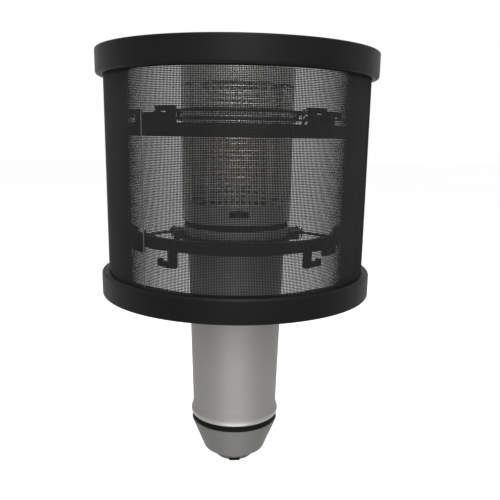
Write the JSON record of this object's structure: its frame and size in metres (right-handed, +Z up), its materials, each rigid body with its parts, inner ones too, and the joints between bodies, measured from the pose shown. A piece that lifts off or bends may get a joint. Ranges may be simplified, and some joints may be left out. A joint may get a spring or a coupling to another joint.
{
  "type": "microphone isolation shield",
  "caption": "Half-cylinder wire-mesh isolation shield, open at the back, with a hooked elastic suspension holding a side-address studio microphone, and a tilting rear stand bracket.",
  "frame": {"origin": "centre of the stand thread's mouth, at the rear of the shield", "axes": "+Z up along the shield's axis and out of the stand thread's top, -Y the front that the microphone faces, +X to the right seen from the front"},
  "size_m": [0.1414, 0.1677, 0.219],
  "materials": {
    "ring_black": "satin powder-coated aluminium look",
    "wire_black": "blackened woven wire",
    "frame_black": "matte",
    "screw_black": "black oxide",
    "cord_black": "braided elastic",
    "bracket_metal": "satin black",
    "brass_insert": "machined",
    "knob_plastic": "moulded",
    "rubber_black": "matte",
    "mic_nickel": "satin, slightly warm",
    "mic_grille_wire": "woven",
    "mic_inner_wire": "fine woven",
    "mic_bright": "polished rim",
    "capsule_metal": "machined",
    "capsule_film": "gold film",
    "board_green": "circuit board",
    "insulator_black": "moulded",
    "pin_metal": "gold plate",
    "transformer_metal": "laminated core"
  },
  "bodies": {
    "stand": {"stand_swivel": "bracket_metal", "thread_insert": "brass_insert"},
    "shield": {"bottom_ring": "ring_black", "top_ring": "ring_black", "bottom_clamp_ring": "frame_black", "top_clamp_ring": "frame_black", "bottom_ring_screws": "screw_black", "top_ring_screws": "screw_black", "mesh_screen": "wire_black", "mesh_seam_strip": "wire_black", "right_post": "frame_black", "left_post": "frame_black", "rear_post": "frame_black", "upper_hoop": "frame_black", "lower_hoop": "frame_black", "hoop_screws": "screw_black", "upper_rear_rod": "frame_black", "lower_rear_rod": "frame_black", "upper_elastic_cords": "cord_black", "lower_elastic_cords": "cord_black", "stand_bracket": "bracket_metal", "bracket_screws": "screw_black", "friction_washers": "rubber_black", "pivot_nut": "screw_black"},
    "knob": {"tilt_knob": "knob_plastic"},
    "cradle": {"cradle_upper_ring": "frame_black", "cradle_lower_ring": "frame_black", "cradle_spines": "frame_black", "cradle_sleeves": "rubber_black"},
    "microphone": {"mic_top_cap": "mic_nickel", "mic_head_ribs": "mic_nickel", "mic_front_grille": "mic_grille_wire", "mic_rear_grille": "mic_grille_wire", "mic_inner_grille": "mic_inner_wire", "mic_head_collar": "mic_nickel", "capsule_backplate": "capsule_metal", "capsule_clamp_rings": "capsule_metal", "capsule_diaphragms": "capsule_film", "capsule_saddle": "insulator_black", "capsule_base_plate": "insulator_black", "mic_head_gasket": "rubber_black", "mic_body_flange": "mic_bright", "mic_body_tube": "mic_nickel", "mic_base_gasket": "rubber_black", "mic_base_cone": "mic_nickel", "connector_shell": "mic_bright", "connector_insulator": "insulator_black", "connector_pins": "pin_metal", "chassis_rails": "mic_bright", "circuit_board": "board_green", "output_transformer": "transformer_metal"},
    "pattern_slide": {"pattern_switch": "insulator_black"},
    "pad_slide": {"pad_switch": "insulator_black"},
    "low_cut_slide": {"low_cut_switch": "insulator_black"}
  },
  "joints": [
    {"name": "shield_tilt", "type": "hinge", "parent": "stand", "child": "shield", "pos_m": [0, 0, 0.038], "axis": [1, 0, 0], "range_deg": [-90, 5]},
    {"name": "knob_turn", "type": "hinge", "parent": "shield", "child": "knob", "pos_m": [0, 0, 0.038], "axis": [1, 0, 0], "range_deg": [-360, 360]},
    {"name": "suspension", "type": "slide", "parent": "shield", "child": "cradle", "axis": [0, 0, 1], "range_m": [-0.003, 0.003], "stiffness_N_per_m": 6000, "springref_m": 0.00066, "deforming": ["upper_elastic_cords", "lower_elastic_cords"]},
    {"name": "microphone_lift", "type": "slide", "parent": "cradle", "child": "microphone", "axis": [0, 0, 1], "range_m": [0, 0.24]},
    {"name": "pattern_select", "type": "slide", "parent": "microphone", "child": "pattern_slide", "axis": [1, 0, 0], "range_m": [-0.0028, 0.0028]},
    {"name": "pad_select", "type": "slide", "parent": "microphone", "child": "pad_slide", "axis": [1, 0, 0], "range_m": [-0.0018, 0.0018]},
    {"name": "low_cut_select", "type": "slide", "parent": "microphone", "child": "low_cut_slide", "axis": [1, 0, 0], "range_m": [-0.0018, 0.0018]}
  ]
}
